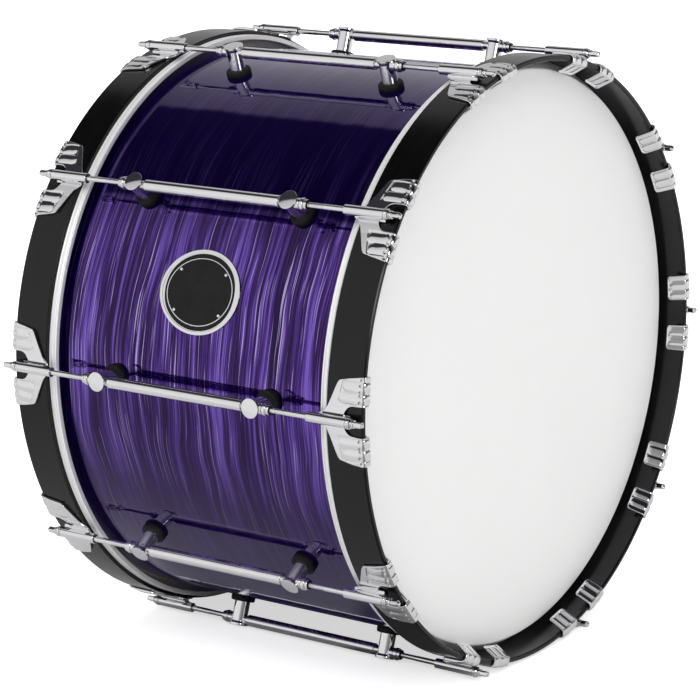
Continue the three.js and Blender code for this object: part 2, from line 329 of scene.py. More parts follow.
class Finish:
    """A node material, with short calls to add nodes and join them."""

    def __init__(self, name):
        """A new material with its plain surface node."""
        self.material = bpy.data.materials.new(name)
        self.material.use_nodes = True
        self.nodes = self.material.node_tree.nodes
        self.links = self.material.node_tree.links
        self.surface = self.nodes["Principled BSDF"]

    def add(self, kind, inputs=(), **settings):
        """A new node, with values or links for its inputs and with its settings."""
        made = self.nodes.new("ShaderNode" + kind)
        for key, value in settings.items():
            setattr(made, key, value)
        for key, value in dict(inputs).items():
            self.set(made.inputs[key], value)
        return made

    def set(self, socket, value):
        """Links a socket to an output, or gives it a plain value."""
        if isinstance(value, bpy.types.NodeSocket):
            self.links.new(value, socket)
        else:
            socket.default_value = value

    def shade(self, **inputs):
        """Sets the surface's own inputs by name."""
        for key, value in inputs.items():
            self.set(self.surface.inputs[key.replace("_", " ")], value)

    def place(self, scale=(1, 1, 1)):
        """The object's own coordinates, stretched by a scale along each axis."""
        where = self.add("TexCoord")
        return self.add("Mapping", {"Vector": where.outputs["Object"], "Scale": scale}).outputs[0]

    def noise(self, vector, scale, detail=2.0, rough=0.5):
        """Smooth noise between 0 and 1."""
        inputs = {"Vector": vector, "Scale": scale, "Detail": detail, "Roughness": rough}
        return self.add("TexNoise", inputs).outputs["Fac"]

    def ramp(self, value, stops, colour=False):
        """A colour ramp. Each stop is a place and a grey, or a place and a colour."""
        made = self.add("ValToRGB", {"Fac": value})
        elements = made.color_ramp.elements
        while len(elements) < len(stops):
            elements.new(0.5)
        for element, (position, shade) in zip(elements, stops):
            element.position = position
            element.color = (*shade, 1) if colour else (shade, shade, shade, 1)
        return made.outputs["Color"]

    def maths(self, operation, a, b=0.0):
        """One sum of two values or outputs."""
        made = self.add("Math", operation=operation)
        self.set(made.inputs[0], a)
        self.set(made.inputs[1], b)
        return made.outputs[0]

    def mix(self, share, a, b):
        """A blend of two colours."""
        made = self.add("Mix", data_type="RGBA")
        self.set(made.inputs[0], share)
        self.set(made.inputs[6], a)
        self.set(made.inputs[7], b)
        return made.outputs[2]

    def bump(self, height, distance, strength):
        """Fine relief on the surface."""
        inputs = {"Height": height, "Distance": distance, "Strength": strength}
        self.shade(Normal=self.add("Bump", inputs).outputs[0])


def pearl_wrap():
    """Purple pearl under clear gloss. The streaks are noise drawn out round the drum and bent by slow noise.
    The pearl's flakes mirror the room in their own colour. The streaks show where the wrap is looked at
    squarely, and at a glance the colour is painted down to deep purple, a painted shade. The clear layer over
    them is slightly wavy."""
    f = Finish("pearl_wrap")
    where = f.add("TexCoord").outputs["Object"]
    sway = f.maths("MULTIPLY", f.maths("SUBTRACT", f.noise(where, 9.0, 1.0), 0.5), 0.020)
    parts = f.add("SeparateXYZ", {"Vector": where}).outputs
    axial = f.maths("ADD", parts["Y"], sway)
    swayed = f.add("CombineXYZ", {"X": parts["X"], "Y": axial, "Z": parts["Z"]}).outputs[0]

    def streaks(round_the_drum, along_the_drum, detail):
        """Noise that is slow round the drum and quick along it."""
        scale = (round_the_drum, along_the_drum, round_the_drum)
        return f.noise(f.add("Mapping", {"Vector": swayed, "Scale": scale}).outputs[0], 1.0, detail, 0.55)

    broad, narrow, fine = streaks(5, 62, 2.0), streaks(7, 270, 2.0), streaks(10, 760, 1.0)
    tone = f.maths("ADD", f.maths("MULTIPLY", broad, 0.36), f.maths("MULTIPLY", narrow, 0.38))
    tone = f.maths("ADD", tone, f.maths("MULTIPLY", fine, 0.26))
    base = f.ramp(tone, [
        (0.425, (0.014, 0.001, 0.032)), (0.465, (0.032, 0.006, 0.088)), (0.505, (0.060, 0.018, 0.178)),
        (0.54, (0.102, 0.042, 0.315)), (0.585, (0.210, 0.110, 0.570)),
    ], colour=True)
    lines = f.ramp(streaks(9, 820, 1.0), [(0.655, 0), (0.69, 0.95)])
    colour = f.mix(lines, base, (0.60, 0.50, 0.92, 1))
    # Painted shade: the base colour is painted down to deep purple where the wrap is seen at a glance.
    glance_shade = f.ramp(f.add("LayerWeight", {"Blend": 0.5}).outputs["Facing"], [(0.20, 0), (0.42, 0.86)])
    colour = f.mix(glance_shade, colour, (0.024, 0.006, 0.052, 1))
    f.shade(Base_Color=colour, Roughness=0.06, Metallic=0.98, IOR=1.3)
    f.shade(Coat_Weight=1.0, Coat_Roughness=0.015, Coat_IOR=1.27)
    f.shade(Sheen_Weight=0.07, Sheen_Roughness=0.7, Sheen_Tint=(0.06, 0.0, 0.80, 1))
    ripple = f.noise(f.add("Mapping", {"Vector": where, "Scale": (14, 26, 14)}).outputs[0], 1.0, 1.0)
    wave = f.add("Bump", {"Height": ripple, "Distance": 0.35 * MM, "Strength": 1.0}).outputs[0]
    f.shade(Normal=wave, Coat_Normal=wave)
    return f.material


def chrome():
    """Bright plated metal, with the faint waviness of a casting under the plate."""
    f = Finish("chrome")
    where = f.place()
    f.shade(Base_Color=f.mix(f.noise(where, 40.0, 2.0), (0.84, 0.84, 0.85, 1), (0.90, 0.90, 0.91, 1)))
    f.shade(Metallic=1.0, Roughness=f.ramp(f.noise(where, 160.0, 3.0), [(0.35, 0.02), (0.75, 0.06)]))
    f.bump(f.noise(where, 70.0, 2.0), 0.15 * MM, 0.3)
    return f.material


def black_lacquer():
    """Satin black lacquer on wood: a fine orange peel, and a grain that barely shows through."""
    f = Finish("black_lacquer")
    grain = f.noise(f.place((6, 160, 6)), 1.0, 3.0)
    f.shade(Base_Color=f.ramp(grain, [(0.3, 0.0010), (0.7, 0.0022)]))
    f.shade(Roughness=f.ramp(f.noise(f.place(), 60.0, 3.0), [(0.3, 0.15), (0.7, 0.23)]), IOR=1.41)
    f.bump(f.noise(f.place(), 900.0, 2.0), 0.05 * MM, 0.25)
    return f.material


def white_film():
    """Matte white coating on film, with a fine tooth and the faintest mottling."""
    f = Finish("white_film")
    mottle = f.noise(f.place(), 9.0, 3.0)
    f.shade(Base_Color=f.mix(mottle, (0.82, 0.82, 0.815, 1), (0.85, 0.85, 0.845, 1)))
    f.shade(Roughness=f.ramp(f.noise(f.place(), 300.0, 2.0), [(0.3, 0.42), (0.7, 0.55)]), IOR=1.45)
    f.bump(f.noise(f.place(), 1500.0, 2.0), 0.05 * MM, 0.3)
    return f.material


def bright_rim():
    """Satin aluminium turned on a lathe: fine rings that run round the drum."""
    f = Finish("bright_rim")
    rings = f.noise(f.place((3, 2600, 3)), 1.0, 2.0)
    f.shade(Base_Color=f.ramp(rings, [(0.3, 0.80), (0.7, 0.92)]), Metallic=0.45)
    f.shade(Roughness=f.ramp(rings, [(0.3, 0.26), (0.7, 0.36)]))
    return f.material


def black_rubber():
    """Moulded rubber, dull, with a fine pitted skin."""
    f = Finish("black_rubber")
    f.shade(Base_Color=f.ramp(f.noise(f.place(), 120.0, 3.0), [(0.3, 0.002), (0.7, 0.006)]))
    f.shade(Roughness=0.6, IOR=1.36)
    f.bump(f.noise(f.place(), 1400.0, 2.0), 0.08 * MM, 0.4)
    return f.material


def maple_ply():
    """Clear lacquered maple: long grain with darker flecks."""
    f = Finish("maple_ply")
    grain = f.noise(f.place((9, 120, 9)), 1.0, 4.0, 0.6)
    f.shade(Base_Color=f.ramp(grain, [(0.3, (0.42, 0.25, 0.12)), (0.7, (0.66, 0.46, 0.27))], colour=True))
    f.shade(Roughness=0.4)
    return f.material


def black_enamel():
    """Black enamel in the badge, smooth, with slight depth changes in its gloss."""
    f = Finish("black_enamel")
    f.shade(Base_Color=f.ramp(f.noise(f.place(), 50.0, 2.0), [(0.3, 0.004), (0.7, 0.007)]))
    f.shade(Roughness=f.ramp(f.noise(f.place(), 200.0, 2.0), [(0.3, 0.22), (0.7, 0.32)]), IOR=1.3)
    return f.material


def pale_floor():
    """White light table. In mirrors it shows a painted reflection: light grey, with painted shade near the
    drum, and painted dark where the room ends behind the camera."""
    f = Finish("pale_floor")
    lit = f.ramp(f.noise(f.place(), 3.0, 2.0), [(0.3, 0.90), (0.7, 0.92)])
    path = f.add("LightPath").outputs
    mirrored = path["Is Glossy Ray"]
    parts = f.add("SeparateXYZ", {"Vector": f.place()}).outputs
    turn = f.maths("DIVIDE", f.maths("ARCTAN2", parts["Y"], parts["X"]), 2 * math.pi)
    # Painted reflection: in mirrors the floor is grey, painted dark in a wedge towards the camera where the
    # room ends.
    grey = f.ramp(f.maths("ADD", turn, 0.5), [(0.05, 0.70), (0.08, 0.25), (0.15, 0.25), (0.18, 0.70)])
    # Painted shade: the mirrored floor is painted darker near the drum, where its shadow falls.
    near = f.ramp(f.maths("MULTIPLY", f.maths("ABSOLUTE", parts["X"]), 0.5), [(0.36, 0.80), (0.60, 1.0)])
    grey = f.maths("MULTIPLY", grey, near)
    f.shade(Base_Color=f.mix(mirrored, lit, grey), Roughness=0.8, Specular_IOR_Level=0.1)
    f.shade(Emission_Color=(1, 1, 1, 1), Emission_Strength=f.maths("MULTIPLY", path["Is Camera Ray"], 0.62))
    return f.material


PEARL = pearl_wrap()
CHROME = chrome()
LACQUER = black_lacquer()
FILM_WHITE = white_film()
RIM_METAL = bright_rim()
RUBBER = black_rubber()
MAPLE = maple_ply()
ENAMEL = black_enamel()


# Shell, heads, rims and hoops

def make_wrap():
    """Thin sleeve: a flat band at the wrap's radius, its ends rounded."""
    inner = WRAP_RADIUS - WRAP_THICK
    band = [[inner, -WRAP_END], [WRAP_RADIUS, -WRAP_END], [WRAP_RADIUS, WRAP_END], [inner, WRAP_END]]
    round_ends = [0, 0.2 * MM, 0.2 * MM, 0]
    piece("shell_pearl_wrap", [ring(outline(band, round_ends), 1)], PEARL, "root", ["shell_wrap"])


def make_head(label, side):
    """Film: flat across the drum, over the bearing edge in an arc, out in a cone over the channel's inner wall,
    and down into the channel."""
    under = EDGE_END + SEAT
    skirt = RIM_OUTER - RIM_WIDTH * 0.57
    skirt_top = RIM_FRONT + 2 * SEAT
    skirt_end = RIM_BACK + RIM_WALL + SEAT
    shoulder = WRAP_RADIUS + 0.9 * MM
    top = [[0, under + FILM], [shoulder, under + FILM], [skirt + FILM, skirt_top + SEAT],
           [skirt + FILM, skirt_end]]
    bottom = [[0, under], [shoulder - 0.5 * MM, under], [skirt, skirt_top], [skirt, skirt_end]]
    profile = np.concatenate([
        outline(top, [0, 2.2 * MM, 1.6 * MM, 0], closed=False),
        outline(bottom, [0, 1.8 * MM, 1.2 * MM, 0], closed=False)[::-1],
    ])
    piece(f"{label}_head_film", [disc(profile, side)], FILM_WHITE, "root", [f"{label}_head"])


def make_rim(label, side):
    """Channel ring with rolled lips, and two grooves round its outer face."""
    inner = RIM_OUTER - RIM_WIDTH
    low, high = RIM_BACK + 2.5 * MM, RIM_BACK + 6.9 * MM
    groove, depth = 0.7 * MM, 0.9 * MM
    floor = RIM_BACK + RIM_WALL
    points = [
        [inner, RIM_BACK], [RIM_OUTER, RIM_BACK], [RIM_OUTER, low - groove], [RIM_OUTER - depth, low],
        [RIM_OUTER, low + groove], [RIM_OUTER, high - groove], [RIM_OUTER - depth, high],
        [RIM_OUTER, high + groove], [RIM_OUTER, RIM_FRONT], [RIM_OUTER - RIM_WALL, RIM_FRONT],
        [RIM_OUTER - RIM_WALL, floor], [inner + RIM_WALL, floor], [inner + RIM_WALL, RIM_FRONT],
        [inner, RIM_FRONT],
    ]
    radii = np.array([0.9, 1.0, 0.3, 0.2, 0.3, 0.3, 0.2, 0.3, 0.5, 0.6, 0.8, 0.8, 0.6, 0.6]) * MM
    piece(f"{label}_rim_channel", [ring(outline(points, radii), side)], RIM_METAL, "root",
          [f"{label}_head_rim"])


def make_hoop(label, side):
    """Hoop wall, bevelled along its outer front edge and rounded along the others."""
    inner = HOOP_OUTER - HOOP_THICK
    bevel = 1.3 * MM
    points = [[inner, HOOP_BACK], [HOOP_OUTER, HOOP_BACK], [HOOP_OUTER, HOOP_FRONT - bevel],
              [HOOP_OUTER - bevel, HOOP_FRONT], [inner, HOOP_FRONT]]
    radii = np.array([0.8, 0.8, 0.5, 0.5, 1.8]) * MM
    piece(f"{label}_hoop_wood", [ring(outline(points, radii), side)], LACQUER, f"{label}_hoop",
          [f"{label}_hoop"])


# Claws

def hook_path():
    """The claw's outer face in its mid plane: along the plate, round the front, and down the flared leg."""
    corners = [[CLAW_OUTER, CLAW_TAIL], [CLAW_OUTER, CLAW_FRONT], [CLAW_OUTER - 9.7 * MM, CLAW_FRONT], LEG_END]
    path = outline(corners, [0, 5 * MM, 3 * MM, 0], closed=False)
    length = np.concatenate([[0], np.cumsum(np.linalg.norm(np.diff(path, axis=0), axis=1))])
    return path, length


def spread_rows(total):
    """Lengths along the hook path: even steps, made closer where the ribs start and at the front bend."""
    rib_starts, front_bend = 182 * MM, 203 * MM
    even = np.linspace(0, total, 400)
    near_ribs = np.exp(-((CLAW_TAIL + even - rib_starts) / (6 * MM)) ** 2)
    near_bend = np.exp(-((CLAW_TAIL + even - front_bend) / (4 * MM)) ** 2)
    share = np.cumsum(1 + 1.4 * (near_ribs + near_bend))
    return np.interp(np.linspace(share[0], share[-1], CLAW_ROWS), share, even)


def claw_relief(across, reach, left):
    """Height of the claw's face at each offset and reach, with the length left to its tip. The face leans up
    towards the side and sinks inside a panel. Two ribs rise in it, each a smooth swell about a line that runs
    on round the front and dips where it bends. A row of dimples, each a smooth pit, follows the bend."""
    flat_end, lean_end, bend = 200 * MM, 202 * MM, 201.6 * MM
    past_inner = across - PANEL_INNER
    past_start = np.minimum(reach, flat_end) - PANEL_START - 0.27 * past_inner
    inside = np.minimum(past_start, PANEL_OUTER - across)
    panel = ease(inside / (0.9 * MM)) * ease((across - 13.5 * MM) / (4 * MM))
    lean = FACE_LEAN * np.maximum(past_inner, 0) * ease((lean_end - reach) / (9 * MM))
    height = -PANEL_DEPTH * panel + lean
    dip = 1 - 0.5 * np.exp(-((reach - bend) / (1.4 * MM)) ** 2)
    for middle, half, start in CLAW_RIBS:
        beyond = np.maximum(0, start - reach) + np.maximum(0, RIB_END - left)
        away = np.hypot(across - middle, beyond) / half
        height = height + RIB_HEIGHT * dip * np.clip(1 - away ** 2, 0, 1) ** 0.5
    for offset, place, half in CLAW_DIMPLES:
        away = np.hypot((across - offset) / half, (reach - place) / DIMPLE_LENGTH)
        height = height - DIMPLE_DEPTH * np.exp(-away ** 3)
    return height


def half_claw():
    """Half of a claw as a grid: the radius and axial place of each point, and the arc by which it lies past the
    claw's middle. A closed section is carried along the hook path: the face, a rounded edge, the underside, and
    another rounded edge. The face is an even grid trimmed to the outline. The section thins to a line at the
    tail and at the tip, where face and underside meet."""
    path, length = hook_path()
    total = length[-1]
    along = spread_rows(total)
    behind, place, ahead = (
        np.stack([np.interp(np.clip(along + step, 0, total), length, path[:, i]) for i in (0, 1)], -1)
        for step in (-0.4 * MM, 0, 0.4 * MM)
    )
    run = ahead - behind
    run /= np.linalg.norm(run, axis=1)[:, None]
    normal = np.stack([run[:, 1], -run[:, 0]], -1)

    reach, left = CLAW_TAIL + along, total - along
    tip = 4 * MM
    cut = tip - np.sqrt(np.clip(tip ** 2 - np.clip(tip - left, 0, tip) ** 2, 0, None))
    outer = (np.interp(reach, *CLAW_WING.T) - cut)[:, None]
    inner = (np.interp(reach, *CLAW_NOTCH.T) + cut)[:, None]
    edge = CLAW_EDGE
    across = np.clip(np.linspace(0, 42 * MM, CLAW_COLUMNS), inner + edge, outer - edge)
    face = claw_relief(across, reach[:, None], left[:, None])
    under = inner + edge + np.linspace(1, 0, UNDER_COLUMNS) * (outer - inner - 2 * edge)
    under[0] = snapped(under[0], across[0])
    across[-1] = snapped(across[-1], under[-1])

    bend = np.linspace(0, math.pi / 2, 4)[1:]
    upper, lower = edge * (np.cos(bend) - 1), -CLAW_THICK + edge - edge * np.sin(bend - bend[0])
    out = np.concatenate([edge * np.sin(bend), edge * np.cos(bend - bend[0])])
    far_fall, near_fall = (
        np.concatenate([brink + upper, 0 * brink + lower], 1) for brink in (face[:, -1:], face[:, :1])
    )
    offset = np.concatenate([across, outer - edge + out, under, inner + edge - out[::-1]], 1)
    height = np.concatenate([face, far_fall, np.full_like(under, -CLAW_THICK), near_fall[:, ::-1]], 1)

    thinning = 1.1 * MM
    nearness = np.clip(np.minimum(along, left) / thinning, 0, 1)
    squeeze = np.sqrt(1 - (1 - nearness) ** 2)[:, None]
    height = -CLAW_THICK / 2 + (height + CLAW_THICK / 2) * squeeze
    return place[:, :1] + height * normal[:, :1], place[:, 1:] + height * normal[:, 1:], offset / CLAW_OUTER


def web(angle, side):
    """Rib between plate and barrel: a narrow wall whose foot spreads in a curve, with its tail swept up. Its
    top ends inside the barrel's wall, clear of the bore, and each end closes to its middle."""
    start, length, half_width, flare = 159.5 * MM, BARREL_FRONT - 161 * MM, 2.9 * MM, 1.8 * MM
    axial = start + np.linspace(0, 1, 26) * length
    crest = ROD_AXIS - BORE_RADIUS - 0.15 * MM
    swept_up = 1 - ease((axial - 158.5 * MM) / (5 * MM))
    foot = CLAW_OUTER - 1.2 * MM + (crest - CLAW_OUTER) * swept_up
    rise = np.linspace(0, 1, 9)
    spread = half_width + flare * (1 - rise) ** 3
    height = foot[:, None] + rise * (crest - foot)[:, None]
    across = np.concatenate([spread, -spread[::-1]])
    out = np.concatenate([height, height[:, ::-1]], 1)
    points = at_station(out, across[None, :], side * axial[:, None], angle)
    ends = [np.repeat(points[i].mean(0)[None, None], points.shape[1], 1) for i in (0, -1)]
    return skin(np.concatenate([ends[0], points, ends[1]]))


def barrel(angle, side):
    """Bored barrel that the rod passes through, with rounded ends."""
    points = [
        [BORE_RADIUS, BARREL_BACK], [BARREL_RADIUS, BARREL_BACK], [BARREL_RADIUS, BARREL_FRONT],
        [BORE_RADIUS, BARREL_FRONT],
    ]
    return turned_on_rod(outline(points, np.array([0.3, 0.9, 0.7, 0.3]) * MM), angle, side, BARREL_STEPS)


def make_claw(label, side, number, angle):
    """Double claw: a finger on each side of the rod, joined by the web under the barrel."""
    radius, axial, arc = HALF_CLAW
    skins = [skin(round_station(radius, hand * arc, side * axial, angle)) for hand in (1, -1)]
    skins += [web(angle, side), barrel(angle, side)]
    piece(f"{label}_claw_{number}_cast", skins, CHROME, f"{label}_hoop",
          [f"{label}_claw_{number}"])


# Tension rods

def thread(angle, side):
    """Rolled thread: the radius dips once a pitch, and the dip runs on round the rod as a right-hand helix."""
    axial = np.arange(ROD_TIP, THREAD_END, THREAD_PITCH / 5)
    turn = np.arange(THREAD_STEPS) * 2 * math.pi / THREAD_STEPS
    phase = axial[:, None] / THREAD_PITCH - side * turn / (2 * math.pi)
    radius = THREAD_RADIUS - THREAD_DEPTH * (1 - np.abs(2 * (phase % 1) - 1))
    pole = np.zeros_like(radius[:1])
    radius = np.concatenate([pole, radius, pole])
    axial = np.concatenate([axial[:1], axial, axial[-1:]])[:, None]
    points = at_station(ROD_AXIS + radius * np.cos(turn), radius * np.sin(turn), side * axial, angle)
    return skin(points)


def shank(angle, side):
    """Plain shank, then a rounded collar with a ridge, a neck, and a small ring at the key's foot."""
    start = THREAD_END - 1 * MM
    collar = np.array([
        [4.8, 0], [5.3, 0.8], [5.3, 1.9], [4.4, 2.3], [5.2, 2.8], [5.1, 3.9], [4.0, 5.2], [2.9, 5.5],
        [2.9, 6.3], [3.8, 6.7], [3.8, 7.7], [0, 8.2],
    ]) * MM + [0, ROD_FLANGE]
    points = [[0, start], [SHANK_RADIUS, start], [SHANK_RADIUS, ROD_FLANGE], *collar]
    radii = np.array([0, 0.3, 0, 0.3, 0.6, 0.5, 0.2, 0.4, 0.8, 0.6, 0.3, 0.3, 0.4, 0.4, 0]) * MM
    return turned_on_rod(outline(points, radii), angle, side, BARREL_STEPS, closed=False)


def key_head(angle, side):
    """Square key: at each place along it the section is a square with soft corners, and the tip is domed."""
    start = ROD_FLANGE + 7.0 * MM
    along = np.array([0, 0.1, 0.5, 0.72, 0.86, 0.94, 0.985, 1.0])
    size = np.array([2.7, 2.7, 2.75, 2.75, 2.55, 2.1, 1.3, 0.0]) * MM
    turn = np.arange(KEY_STEPS) * 2 * math.pi / KEY_STEPS
    square = (np.abs(np.cos(turn)) ** 4 + np.abs(np.sin(turn)) ** 4) ** (-1 / 4)
    radius = size[:, None] * square
    radius = np.concatenate([np.zeros_like(radius[:1]), radius])
    axial = (start + np.concatenate([[0], along]) * (KEY_END - start))[:, None]
    points = at_station(ROD_AXIS + radius * np.cos(turn), radius * np.sin(turn), side * axial, angle)
    return skin(points)


def make_rod(label, side, number, angle):
    """Tension rod: thread, shank with its collar, and key head."""
    skins = [thread(angle, side), shank(angle, side), key_head(angle, side)]
    piece(f"{label}_rod_{number}_steel", skins, CHROME, f"{label}_rod_{number}",
          [f"{label}_rod_{number}"])


# Lugs

def post(angle, axial):
    """Post: a plain round pillar that spreads in a short curve under its cap, which is very slightly domed."""
    bottom, foot, cap = GASKET_TOP - 1 * MM, CAP_TOP - 4.6 * MM, CAP_TOP - 2.6 * MM
    dome = 0.35 * MM
    points = [[0, bottom], [FOOT_RADIUS, bottom], [FOOT_RADIUS, foot], [CAP_RADIUS - 0.2 * MM, cap],
              [CAP_RADIUS, CAP_TOP - dome]]
    side = outline(points, [0, 0, 2.5 * MM, 0.3 * MM, 0], closed=False)[:-1]
    radius = np.linspace(CAP_RADIUS - 0.9 * MM, 0, 9)
    top = np.stack([radius, CAP_TOP - dome * (radius / radius[0]) ** 2], -1)
    edge = corner_arc(side[-1], np.array([CAP_RADIUS, CAP_TOP - dome]), top[0], 0.8 * MM)
    return turned_outwards(np.concatenate([side, edge, top[1:]]), angle, axial)


def gasket(angle, axial):
    """Rubber foot: a round pad whose underside follows the shell, with a soft upper edge. Each ring has its
    radius, its height, and the share by which it sinks with the shell's curve."""
    turn = np.arange(POST_STEPS)[:, None] * 2 * math.pi / POST_STEPS
    wide = np.array([0, 12.1, 12.3, 12.25, 12.0, 11.5, 10.6, 7.6, 0]) * MM
    height = np.array([0, 0, 0.4, 3.2, 4.6, 5.3, 5.6, 5.6, 5.6]) * MM
    sit = np.array([1, 1, 1, 0.6, 0.3, 0.1, 0, 0, 0])
    across = wide * np.sin(turn)
    curve = WRAP_RADIUS - np.sqrt(WRAP_RADIUS ** 2 - across ** 2)
    out = WRAP_RADIUS + 0.05 * MM + height - sit * curve
    points = at_station(out, across, axial + wide * np.cos(turn), angle)
    return points.reshape(-1, 3), grid_faces(POST_STEPS, len(wide), closed_rows=True, closed_columns=False)


def tube(angle):
    """Tube between the posts, with a narrower neck where it enters each post."""
    end, neck = LUG_AXIAL - 11.8 * MM, LUG_AXIAL - 3 * MM
    half = [[BORE_RADIUS, neck], [NECK_RADIUS, neck], [NECK_RADIUS, end], [TUBE_RADIUS, end]]
    mirrored = [[r, -y] for r, y in reversed(half)]
    radii = np.array([0, 0, 0.3, 0.7, 0.7, 0.3, 0, 0]) * MM
    return turned_on_rod(outline(half + mirrored, radii), angle, 1, BARREL_STEPS)


def swivel_nut(angle, side):
    """Nut between post and rod: a collar, a wide bead and a narrow lip, with grooves between them."""
    start, end = LUG_AXIAL + 6.5 * MM, NUT_END - 0.3 * MM
    form = np.array([
        [5.5, -8.2], [4.3, -7.9], [4.3, -7.1], [6.2, -6.7], [6.2, -3.3], [4.5, -2.9], [4.5, -2.3], [5.1, -2.0],
        [5.1, 0],
    ]) * MM + [0, end]
    points = [[BORE_RADIUS, start], [5.5 * MM, start], *form, [BORE_RADIUS, end]]
    radii = np.array([0, 0, 0.7, 0.2, 0.2, 1.0, 1.0, 0.2, 0.2, 0.4, 0.6, 0.1]) * MM
    return turned_on_rod(outline(points, radii), angle, side, BARREL_STEPS)


def bush(angle, side):
    """Black bush that centres the rod in its nut."""
    points = np.array([[2.8, -1.5], [4.1, -1.5], [4.1, 0.4], [2.8, 0.4]]) * MM + [0, NUT_END]
    return turned_on_rod(outline(points, np.array([0, 0, 0.3, 0.1]) * MM), angle, side)


def lug_screw(angle, axial):
    """Screw inside the shell, with a washer and a domed head."""
    seat = LUG_LOW.x + 3.4 * MM
    head = np.array([[0, -3.4], [4.0, -3.2], [4.6, -1.2], [7, -1.1], [7, 0], [2.5, 0]]) * MM + [0, seat]
    radii = np.array([0, 0.8, 0.1, 0.2, 0.3, 0, 0, 0]) * MM
    points = [*head, [2.5 * MM, GASKET_TOP], [0, GASKET_TOP]]
    return turned_outwards(outline(points, radii), angle, axial, SCREW_STEPS)


def make_lug(number, angle):
    """Tube lug: a tube between two posts on rubber, with a nut and a bush for each rod. The posts are bored
    through for the rods."""
    node = f"lug_{number}"

    def part(name, skins, material):
        """One piece of the lug."""
        return piece(f"{node}_{name}", skins, material, "root", [node])

    places, sides = (-LUG_AXIAL, LUG_AXIAL), (-1, 1)
    part("tube", [tube(angle)], CHROME)
    posts = part("posts", [post(angle, y) for y in places], CHROME)
    rod_hole = np.array([[0, -NUT_END], [BORE_RADIUS, -NUT_END], [BORE_RADIUS, NUT_END], [0, NUT_END]])
    bore(posts, [turned_on_rod(rod_hole, angle, 1, BARREL_STEPS, closed=False)])
    part("nuts", [swivel_nut(angle, s) for s in sides], CHROME)
    part("gaskets", [gasket(angle, y) for y in places], RUBBER)
    part("bushes", [bush(angle, s) for s in sides], RUBBER)
    part("screws", [lug_screw(angle, y) for y in places], CHROME)


# Badge and vent

def oval(rings):
    """Oval form bent to the shell. Each ring is a share of the badge's outline, less an inset, at a radius."""
    turn = np.arange(BADGE_STEPS) * 2 * math.pi / BADGE_STEPS
    points = []
    for share, inset, radius in rings:
        across = (share * BADGE_HEIGHT / 2 - inset) * np.sin(turn)
        axial = (share * BADGE_LENGTH / 2 - inset) * np.cos(turn)
        points.append(round_station(radius, across / WRAP_RADIUS, axial, BADGE_ANGLE))
    return np.array(points)


def make_badge():
    """Oval plate with a polished border, a black field that swells a little, a thin ring and four rivets."""
    low = WRAP_RADIUS + 0.1 * MM
    top = low + 1.3 * MM
    border = 3.4 * MM
    plate = oval([
        (0, 0, low), (1, 0.3 * MM, low), (1, 0, low + 0.3 * MM), (1, 0, top - 0.5 * MM), (1, 0.25 * MM, top),
        (1, border - 0.3 * MM, top), (1, border, top - 0.3 * MM), (0, 0, top - 0.3 * MM),
    ])
    swell = [(share, border * share, top - 0.35 * MM + 0.45 * MM * (1 - share ** 2))
             for share in (0.94, 0.8, 0.6, 0.4, 0.2)]
    field = oval([(0, 0, low), (1, border, low), (1, border, top - 0.35 * MM), *swell, (0, 0, top + 0.1 * MM)])
    near, far, seat = 8.2 * MM, 9.1 * MM, top - 0.45 * MM
    brow, crest = top - 0.02 * MM, top + 0.1 * MM
    ring_line = oval([(1, near, seat), (1, near, brow), (1, near + 0.2 * MM, crest), (1, far - 0.2 * MM, crest),
                      (1, far, brow), (1, far, seat)])
    metal = [skin(plate), skin(ring_line, closed_rows=True)]
    piece("badge_plate", metal, CHROME, "root", ["badge"])
    piece("badge_enamel", [skin(field)], ENAMEL, "root", ["badge"])
    dome = np.array([[0, -0.45], [1.7, -0.45], [1.7, 0], [1.4, 0.35], [0.8, 0.55], [0, 0.6]]) * MM + [0, top]
    rivets = [turned_outwards(dome, BADGE_ANGLE + turn, y, RIVET_STEPS)
              for turn in (-0.068, 0.068) for y in (-26 * MM, 26 * MM)]
    piece("badge_rivets", rivets, CHROME, "root", ["badge"])


def make_vent():
    """Eyelet: a flanged tube with rolled lips."""
    box_low, box_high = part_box("vent_grommet")
    middle = (box_low + box_high) / 2
    angle = math.atan2(middle.z - AXIS_Z, middle.x)
    hole, flange = 6 * MM, half_span("vent_grommet", 1)
    wall = hole + 1 * MM
    inside, outside = SHELL_RADIUS - 8 * MM, WRAP_RADIUS + 0.2 * MM
    points = [[hole, inside], [flange, inside], [flange, inside + 1 * MM], [wall, inside + 1 * MM],
              [wall, outside], [flange, outside], [flange, outside + 1.2 * MM], [hole, outside + 1.2 * MM]]
    radii = np.array([0.5, 0.4, 0.4, 0, 0, 0.3, 0.8, 0.9]) * MM
    made = turned_outwards(outline(points, radii), angle, middle.y, closed=True)
    piece("vent_eyelet", [made], CHROME, "root", ["vent_grommet"])


# Stage, lights and camera

def make_stage():
    """Plain floor, far wider than any view."""
    mesh = bpy.data.meshes.new("floor")
    reach = 40.0
    corners = [(-reach, -reach, 0), (reach, -reach, 0), (reach, reach, 0), (-reach, reach, 0)]
    mesh.from_pydata(corners, [], [(0, 1, 2, 3)])
    floor = bpy.data.objects.new("floor", mesh)
    mesh.materials.append(pale_floor())
    bpy.context.scene.collection.objects.link(floor)


